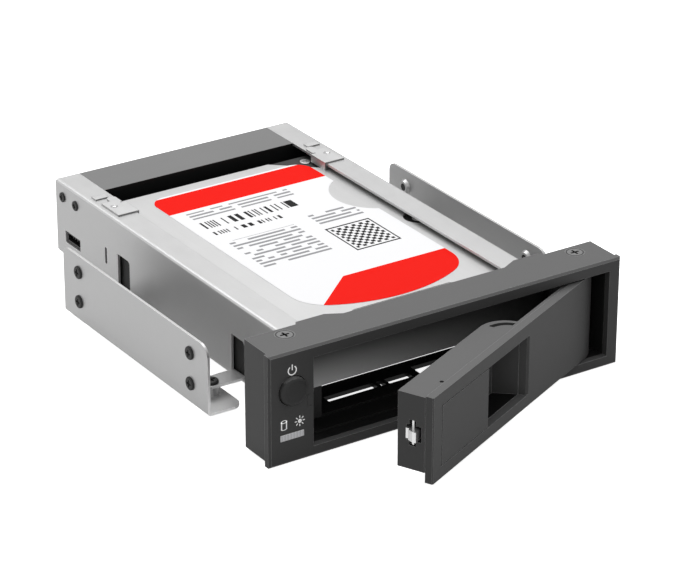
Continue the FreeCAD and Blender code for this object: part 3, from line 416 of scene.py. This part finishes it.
lamp = {
    "dark": (0.40, 0.40, 0.41, 1),
    "pale": (0.5, 0.5, 0.52, 1),
    # the lens's edge colour is a painted highlight
    "paintedEdgeShading": 0.9,
    "ribs": 260.0,
    "ribDepth": 0.05 * mm,
    "edge": 0.2 * mm,
    # the lens glows with its own colour, a painted glow
    "paintedGlow": 0.3,
}


def lampLens(name, settings=lamp):
    finish = Finish(name, {"Coat Weight": 0.5, "Roughness": 0.25, "IOR": 1.5,
                           "Emission Strength": settings["paintedGlow"]})
    ribs = finish.add("ShaderNodeTexWave", {"bands_direction": "X"},
                      {"Vector": finish.place, "Scale": settings["ribs"]})
    edges = finish.softEdges(settings["edge"])
    lens = finish.blend(ribs, settings["dark"], settings["pale"])
    shown = finish.blend(finish.edgeLine(edges), lens, grey(settings["paintedEdgeShading"]))
    finish.feed("Base Color", shown)
    # its colour also glows, a painted glow
    finish.feed("Emission Color", shown)
    finish.feed("Normal", finish.bump(ribs, 0.15, settings["ribDepth"], edges))
    return finish.material


# the ink glows with its own colour, a painted glow
printedInk = {"dark": 0.84, "pale": 0.94, "cloud": 1500, "paintedGlow": 0.3}


def whiteInk(name, settings=printedInk):
    finish = Finish(name, {"Roughness": 0.5, "Emission Strength": settings["paintedGlow"]})
    ink = finish.blend(finish.noise(settings["cloud"], 2), grey(settings["dark"]), grey(settings["pale"]))
    finish.feed("Base Color", ink)
    # the ink's colour also glows, a painted glow
    finish.feed("Emission Color", ink)
    return finish.material


gilding = {"dark": (0.75, 0.5, 0.16, 1), "pale": (0.9, 0.64, 0.26, 1), "cloud": 800, "roughness": 0.2}


def goldContact(name, settings=gilding):
    finish = Finish(name, {"Metallic": 1.0})
    cloud = finish.noise(settings["cloud"], 2)
    finish.feed("Base Color", finish.blend(cloud, settings["dark"], settings["pale"]))
    finish.feed("Roughness", settings["roughness"] + 0.1 * cloud)
    return finish.material


# white film, two plain red areas, ruled lines, bars and a chequer; areas are shares of the label,
# left, right, front and rear
label = {
    "film": (0.86, 0.86, 0.87, 1),
    "red": (0.84, 0.006, 0.001, 1),
    "ink": (0.02, 0.02, 0.02, 1),
    "rule": (0.3, 0.3, 0.31, 1),
    "bars": ((0.08, 0.66, 0.715, 0.765), (0.08, 0.52, 0.66, 0.685)),
    "barCount": 118,
    "chequer": (0.62, 0.86, 0.345, 0.5),
    "chequerCount": (44, 70),
    "frame": (0.60, 0.88, 0.33, 0.515),
    "frameWide": (0.009, 0.007),
    "rules": ((0.08, 0.5, 0.37, 0.6), (0.62, 0.9, 0.55, 0.64), (0.08, 0.72, 0.795, 0.845)),
    "ruleCount": (26, 46),
    "redBand": (0, 1, 0.865, 0.99),
    "redWedge": (0.5, 0.02, 0.2),  # its slope, its start and how far back it goes
}


def printedLabel(name, node, settings=label):
    finish = Finish(name, {"Roughness": 0.5, "Specular IOR Level": 0.05})
    low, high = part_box(node)
    across = (finish.x - low.x) / (high.x - low.x)
    along = (finish.y - low.y) / (high.y - low.y)

    def patch(left, right, near, far):
        return (across > left) * (across < right) * (along > near) * (along < far)

    def patches(areas):
        return sum(patch(*area) for area in areas)

    def cells(value, count):
        return maths("FLOOR", value * count)

    def spread(values):
        return finish.add("ShaderNodeTexWhiteNoise", {"noise_dimensions": "2D"}, {"Vector": values})

    columns = cells(across, settings["barCount"])
    bars = finish.add("ShaderNodeTexWhiteNoise", {"noise_dimensions": "1D"}, {"W": columns}) > 0.48
    bars = bars * patches(settings["bars"])
    countAcross, countAlong = settings["chequerCount"]
    squares = maths("MODULO", cells(across, countAcross) + cells(along, countAlong), 2.0)
    squares = squares * patch(*settings["chequer"])
    left, right, near, far = settings["frame"]
    wideAcross, wideAlong = settings["frameWide"]
    inside = patch(left + wideAcross, right - wideAcross, near + wideAlong, far - wideAlong)
    outline = patch(left, right, near, far) - inside
    countAcross, countAlong = settings["ruleCount"]
    words = finish.add("ShaderNodeCombineXYZ", {}, {0: cells(across, countAcross), 1: cells(along, countAlong)})
    rules = (maths("FRACT", along * countAlong) > 0.5) * (spread(words) > 0.2) * patches(settings["rules"])
    slope, start, reach = settings["redWedge"]
    wedge = (across * slope + start - along > 0) * (along < reach)
    paper = finish.blend(rules, settings["film"], settings["rule"])
    paper = finish.blend(bars + squares + outline, paper, settings["ink"])
    finish.feed("Base Color", finish.blend(patch(*settings["redBand"]) + wedge, paper, settings["red"]))
    return finish.material


finishes = {
    "charcoal": charcoalPlastic("charcoalPlastic"),
    "button": charcoalPlastic("buttonPlastic", {"dark": 0.045, "pale": 0.052, "roughness": 0.34}),
    "inner": glossyBlack("innerBlack"),
    # the housing's front faces are painted black, a painted shade
    "housing": charcoalPlastic("housingPlastic", {"dark": 0.19, "pale": 0.22, "hollow": (front, 1)}),
    # the door box's upward faces below 20 mm are painted black, a painted shade
    "doorBox": charcoalPlastic("doorBoxPlastic", {"hollow": (up, spot(0, 0, 20).z)}),
    # on the clips the forward faces and the edges are painted dark, a painted shade
    "clip": zincSteel("clipSteel", {"dark": 0.6, "pale": 0.66, "cut": 0.25, "paintedEdgeShading": 0.3}),
    "sunkScrew": sunkScrewSteel("sunkScrew", "bezel_screws"),
    "zinc": zincSteel("zincSteel"),
    "screw": blackScrewSteel("blackScrew"),
    "cover": pressedAluminium("coverAluminium"),
    "casting": darkCasting("darkCasting", "drive_casting"),
    "bolt": brightSteel("boltSteel", 0.95, 0.3),
    "pin": brightSteel("pinSteel", 0.6, 0.3),
    "board": boardGreen("boardGreen"),
    "lens": lampLens("lampLens"),
    "ink": whiteInk("whiteInk"),
    "gold": goldContact("goldContact"),
    "label": printedLabel("printedLabel", "drive_label"),
}

dressed = {
    "charcoal": ["front_bezel", "door_panel", "door_handle", "strike_catch"],
    "doorBox": ["door_back"],
    "button": ["power_button"],
    "inner": ["bezel_frame", "button_switch", "drive_socket", "data_port", "power_port", "side_port",
              "drive_plug"],
    "housing": ["rear_housing"],
    "zinc": ["drive_cage", "left_bracket", "right_bracket"],
    "clip": ["left_top_clip", "right_top_clip"],
    "sunkScrew": ["bezel_screws"],
    "screw": ["cage_screws", "housing_screws", "right_bracket_screws", "left_bracket_screws", "tab_screws"],
    "cover": ["drive_cover"],
    "casting": ["drive_casting"],
    "bolt": ["latch_bolt"],
    "pin": ["hinge_pins", "handle_pin", "latch_spring", "lid_screws"],
    "board": ["front_board", "backplane_board", "drive_board"],
    "lens": ["led_window"],
    "label": ["drive_label"],
}
for finishName, members in dressed.items():
    for member in members:
        mesh = nodes[member].data
        mesh.materials.clear()
        mesh.materials.append(finishes[finishName])
print("finishes given to", sum(len(members) for members in dressed.values()), "nodes")


def pieceFrom(form, name, finishName=None):
    mesh = bpy.data.meshes.new(name)
    form.to_mesh(mesh)
    form.free()
    if finishName:
        mesh.materials.append(finishes[finishName])
    piece = bpy.data.objects.new(name, mesh)
    bpy.context.scene.collection.objects.link(piece)
    return piece


def block(name, low, high, finishName=None):
    form = bmesh.new()
    bmesh.ops.create_cube(form, size=1)
    bmesh.ops.scale(form, verts=form.verts, vec=high - low)
    bmesh.ops.translate(form, verts=form.verts, vec=(low + high) / 2)
    return pieceFrom(form, name, finishName)


# the evaluated mesh takes the place of the modifiers
def bake(piece, helpers=()):
    shape = piece.evaluated_get(bpy.context.evaluated_depsgraph_get())
    mesh = bpy.data.meshes.new_from_object(shape)
    piece.modifiers.clear()
    piece.data = mesh
    for helper in helpers:
        bpy.data.objects.remove(helper)
    return piece


# a merged copy of a CAD node with blocks cut out of it, which stands for the node
def recut(node, blocks):
    mesh = nodes[node].data.copy()
    form = bmesh.new()
    form.from_mesh(mesh)
    bmesh.ops.remove_doubles(form, verts=form.verts, dist=0.0001 * mm)
    form.to_mesh(mesh)
    form.free()
    piece = bpy.data.objects.new(node + "_shown", mesh)
    bpy.context.scene.collection.objects.link(piece)
    for cutter in blocks:
        step = piece.modifiers.new("cut", "BOOLEAN")
        step.operation = "DIFFERENCE"
        step.solver = "EXACT"
        step.object = cutter
    return bake(piece, blocks)


# the slots in the guide's floor behind the opening, wider than in the CAD node
guideSlots = {
    "front": 23.6,
    "back": 27.4,
    "cut": (2.0, 6.5),      # lower and upper height of what is cut away
    "floor": (3.1, 4.7),    # and of the bridges between the slots
    "open": ((-34.6, -14.0), (-12.4, -10.4), (-9.0, 1.0), (4.4, 34.6)),
    "bridges": ((-14.0, -12.4), (-10.4, -9.0), (1.0, 2.3)),
}


def slotBlock(name, span, heights, finishName=None):
    left, right = span
    low, high = heights
    return block(name, spot(left, guideSlots["front"], low), spot(right, guideSlots["back"], high), finishName)


guide = recut("bezel_frame", [slotBlock("cutter", span, guideSlots["cut"]) for span in guideSlots["open"]])
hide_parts("bezel_frame")
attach(guide, "cage")
for number, span in enumerate(guideSlots["bridges"]):
    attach(slotBlock("guide_bridge_" + str(number), span, guideSlots["floor"], "inner"), "cage")

# the curved wall behind the hinge, just outside the door's sweep
shroud = {
    "centre": (54.4, 14.0),
    "inner": 14.1,
    "outer": 15.0,
    "low": 5.2,
    "high": 34.0,
    "turns": (4, 92),
    "steps": 24,
}


def hingeShroud():
    centreX, centreY = shroud["centre"]
    start, end = shroud["turns"]
    corners = ((shroud["inner"], shroud["low"]), (shroud["outer"], shroud["low"]),
               (shroud["outer"], shroud["high"]), (shroud["inner"], shroud["high"]))
    form = bmesh.new()
    rings = []
    for step in range(shroud["steps"] + 1):
        angle = math.radians(start + (end - start) * step / shroud["steps"])
        rings.append([form.verts.new(spot(centreX + radius * math.cos(angle),
                                          centreY + radius * math.sin(angle), height))
                      for radius, height in corners])
    for first, second in zip(rings, rings[1:]):
        for i in range(4):
            form.faces.new((first[i], first[(i + 1) % 4], second[(i + 1) % 4], second[i]))
    form.faces.new(rings[0])
    form.faces.new(rings[-1])
    bmesh.ops.recalc_face_normals(form, faces=form.faces[:])
    return pieceFrom(form, "hinge_shroud", "inner")


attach(hingeShroud(), "cage")
print("guide slots and hinge shroud made")

contacts = {
    "pitch": 1.27,
    "size": (0.7, 4.0, 0.08),
    "rows": {               # how many, and the first one's middle
        "cage": [(7, (-26.5, 186.0, 14.66)), (15, (-6.9, 186.0, 14.66)),
                 (7, (-17.1, 160.0, 11.72)), (15, (-2.0, 160.0, 11.72))],
        "drive": [(7, (-16.2, 156.2, 11.76)), (15, (-1.6, 156.2, 11.76))],
    },
}


# a row of contacts: boxes set out along X by a node tree
def contactTree():
    tree = bpy.data.node_groups.new("contactRow", "GeometryNodeTree")
    tree.interface.new_socket("Geometry", in_out="OUTPUT", socket_type="NodeSocketGeometry")
    kinds = {"Count": "NodeSocketInt", "Pitch": "NodeSocketFloat", "Start": "NodeSocketVector",
             "Size": "NodeSocketVector", "Metal": "NodeSocketMaterial"}
    names = {title: tree.interface.new_socket(title, in_out="INPUT", socket_type=kind).identifier
             for title, kind in kinds.items()}
    count = addNode(tree, "NodeGroupInput", {}, {}, "Count")
    step = addNode(tree, "ShaderNodeCombineXYZ", {}, {"X": count.other("Pitch")})
    row = addNode(tree, "GeometryNodeMeshLine", {},
                  {"Count": count, "Start Location": count.other("Start"), "Offset": step})
    contact = addNode(tree, "GeometryNodeMeshCube", {}, {"Size": count.other("Size")}, "Mesh")
    spread = addNode(tree, "GeometryNodeInstanceOnPoints", {}, {"Points": row, "Instance": contact})
    whole = addNode(tree, "GeometryNodeRealizeInstances", {}, {"Geometry": spread})
    coated = addNode(tree, "GeometryNodeSetMaterial", {}, {"Geometry": whole, "Material": count.other("Metal")})
    addNode(tree, "NodeGroupOutput", {}, {"Geometry": coated})
    return tree, names


def contactRow(name, count, start):
    piece = bpy.data.objects.new(name, bpy.data.meshes.new(name))
    bpy.context.scene.collection.objects.link(piece)
    step = piece.modifiers.new("row", "NODES")
    step.node_group = rowTree
    step[rowInputs["Count"]] = count
    step[rowInputs["Pitch"]] = contacts["pitch"] * mm
    step[rowInputs["Start"]] = spot(*start)
    step[rowInputs["Size"]] = Vector(contacts["size"]) * mm
    step[rowInputs["Metal"]] = finishes["gold"]
    return bake(piece)


rowTree, rowInputs = contactTree()
for body, rows in contacts["rows"].items():
    for number, (count, start) in enumerate(rows):
        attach(contactRow(body + "_contacts_" + str(number), count, start), body)
print("contacts set out")

marks = {
    "proud": 0.03,          # off the bezel's face
    "thick": 0.024,
    "line": 0.42,
    "powerCentre": (-64.7, 35.0),
    "powerRadius": 1.6,
    "powerTurns": (125, 415),
    "powerStroke": (0.1, 2.2),
    "diskCentre": (-68.1, 15.2),
    "diskHalf": (1.2, 1.3),
    "diskOval": (1.05, 0.5),
    "diskBand": 0.9,
    "lampCentre": (-61.8, 15.2),
    "lampRadius": 0.75,
    "rays": 8,
    "rayReach": (1.15, 2.0),
    "rayShare": 0.8,
}


def inkPiece(name, outlines):
    form = bmesh.new()
    for outline in outlines:
        form.faces.new([form.verts.new(spot(x, -marks["proud"], z)) for x, z in outline])
    bmesh.ops.triangulate(form, faces=form.faces[:])
    raised = bmesh.ops.extrude_face_region(form, geom=form.faces[:])["geom"]
    moved = [item for item in raised if isinstance(item, bmesh.types.BMVert)]
    bmesh.ops.translate(form, verts=moved, vec=(0, marks["thick"] * mm, 0))
    bmesh.ops.recalc_face_normals(form, faces=form.faces[:])
    return pieceFrom(form, name, "ink")


def circlePoint(centre, radius, angle):
    return centre[0] + radius * math.cos(angle), centre[1] + radius * math.sin(angle)


def arcBand(centre, inner, outer, turns, steps):
    start, end = turns
    angles = [math.radians(start + (end - start) * i / steps) for i in range(steps + 1)]
    return [[circlePoint(centre, inner, first), circlePoint(centre, outer, first),
             circlePoint(centre, outer, second), circlePoint(centre, inner, second)]
            for first, second in zip(angles, angles[1:])]


def bar(left, right, low, high):
    return [(left, low), (right, low), (right, high), (left, high)]


def powerMark():
    x, z = marks["powerCentre"]
    half = marks["line"] / 2
    ring = arcBand((x, z), marks["powerRadius"] - half, marks["powerRadius"] + half, marks["powerTurns"], 28)
    low, high = marks["powerStroke"]
    return ring + [bar(x - half, x + half, z + low, z + high)]


def diskMark():
    x, z = marks["diskCentre"]
    wide, high = marks["diskHalf"]
    ovalWide, ovalHigh = marks["diskOval"]
    line = marks["line"]
    band = line / 2 / marks["diskBand"]

    def oval(middle, turns):
        return [[(x + ovalWide * px, middle + ovalHigh * pz) for px, pz in quad]
                for quad in arcBand((0, 0), 1 - band, 1 + band, turns, 20)]

    sides = [bar(x - wide, x - wide + line, z - high, z + high),
             bar(x + wide - line, x + wide, z - high, z + high)]
    return sides + oval(z + high, (0, 360)) + oval(z - high, (180, 360))


def lampMark():
    centre = marks["lampCentre"]
    start, end = marks["rayReach"]
    half = marks["line"] / 2 * marks["rayShare"]
    disc = [circlePoint(centre, marks["lampRadius"], math.radians(18 * i)) for i in range(20)]
    outlines = [disc]
    for ray in range(marks["rays"]):
        angle = 2 * math.pi * ray / marks["rays"]
        side = Vector(circlePoint((0, 0), half, angle + math.pi / 2))
        near, far = (Vector(circlePoint(centre, reach, angle)) for reach in (start, end))
        outlines.append([tuple(near - side), tuple(far - side), tuple(far + side), tuple(near + side)])
    return outlines


for markName, outlines in (("power_mark", powerMark()), ("disk_mark", diskMark()), ("lamp_mark", lampMark())):
    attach(inkPiece(markName, outlines), "cage")
print("panel marks printed")

studio = {
    "floorHalf": 4.0,
    "floorGap": 0.15 * mm,
    "floorColour": 0.92,    # to the camera
    "floorBounce": 0.3,     # to other rays
    "floorGlow": 0.88,
    "floorMirrored": 0.36,
    "worldTop": 0.8,
    "worldSide": 0.2,
    "worldTopFrom": 0.9,
    "worldShown": {"Is Glossy Ray": 0.6, "Is Transmission Ray": 1.0, "Is Camera Ray": 1.0},
    "lamps": {              # power, size and place
        "keyLight": (17.0, 1.4, (0.15, 0.6, 1.45)),
        "fillLight": (1.0, 1.2, (-1.1, -1.0, 0.7)),
    },
}


def makeFloor():
    half = studio["floorHalf"]
    level = boxBefore[0].z - studio["floorGap"]
    form = bmesh.new()
    form.faces.new([form.verts.new((x, y, level)) for x, y in bar(-half, half, -half, half)])
    paper = Finish("floorPaper", {"Roughness": 0.9, "Specular IOR Level": 0.0,
                                  "Emission Strength": studio["floorGlow"]})
    camera = paper.add("ShaderNodeLightPath", {}, {}, "Is Camera Ray")
    mirrored = camera.other("Is Glossy Ray") * studio["floorMirrored"]
    shown = camera + camera.other("Is Transmission Ray") + mirrored
    paper.feed("Base Color", paper.blend(shown, grey(studio["floorBounce"]), grey(studio["floorColour"])))
    paper.feed("Emission Color", paper.blend(shown, grey(0), grey(1)))
    floor = pieceFrom(form, "floor")
    floor.data.materials.append(paper.material)


def makeWorld():
    world = bpy.data.worlds.new("studio")
    world.use_nodes = True
    tree = world.node_tree
    tree.nodes.clear()
    direction = addNode(tree, "ShaderNodeTexCoord", {}, {}, "Generated")
    height = addNode(tree, "ShaderNodeSeparateXYZ", {}, {0: direction}, "Z")
    tone = addNode(tree, "ShaderNodeMapRange", {},
                   {"Value": height, "From Min": 0.0, "From Max": studio["worldTopFrom"],
                    "To Min": studio["worldSide"], "To Max": studio["worldTop"]})
    room = addNode(tree, "ShaderNodeBackground", {}, {"Color": tone})
    for ray, strength in studio["worldShown"].items():
        seen = addNode(tree, "ShaderNodeLightPath", {}, {}, ray)
        white = addNode(tree, "ShaderNodeBackground", {}, {"Color": grey(strength)})
        room = addNode(tree, "ShaderNodeMixShader", {}, {0: seen, 1: room, 2: white})
    addNode(tree, "ShaderNodeOutputWorld", {}, {"Surface": room})
    bpy.context.scene.world = world


def softBox(name, power, size, place):
    lamp = bpy.data.lights.new(name, "AREA")
    lamp.energy = power
    lamp.size = size
    holder = bpy.data.objects.new(name, lamp)
    holder.location = place
    holder.rotation_euler = (-Vector(place)).to_track_quat("-Z", "Y").to_euler()
    bpy.context.scene.collection.objects.link(holder)


view = {
    "place": (-0.58003, -0.90454, 0.51585),
    "azimuth": -33.457,
    "elevation": 25.127,
    "roll": 0.136,
    "lens": 167.77,
    "sensor": 36,
    "reach": 20,
}


def makeCamera():
    camera = bpy.data.cameras.new("camera")
    camera.lens = view["lens"]
    camera.sensor_width = view["sensor"]
    camera.clip_end = view["reach"]
    holder = bpy.data.objects.new("camera", camera)
    turn = math.radians(view["azimuth"])
    tilt = math.radians(view["elevation"])
    away = Vector((math.sin(turn) * math.cos(tilt), -math.cos(turn) * math.cos(tilt), math.sin(tilt)))
    aim = (-away).to_track_quat("-Z", "Y").to_matrix().to_4x4()
    roll = Matrix.Rotation(math.radians(view["roll"]), 4, "Z")
    holder.matrix_world = Matrix.Translation(view["place"]) @ aim @ roll
    bpy.context.scene.collection.objects.link(holder)
    bpy.context.scene.camera = holder


makeFloor()
makeWorld()
for lampName, (power, size, place) in studio["lamps"].items():
    softBox(lampName, power, size, place)
makeCamera()
bpy.context.scene.view_settings.view_transform = "Standard"
print("studio ready")
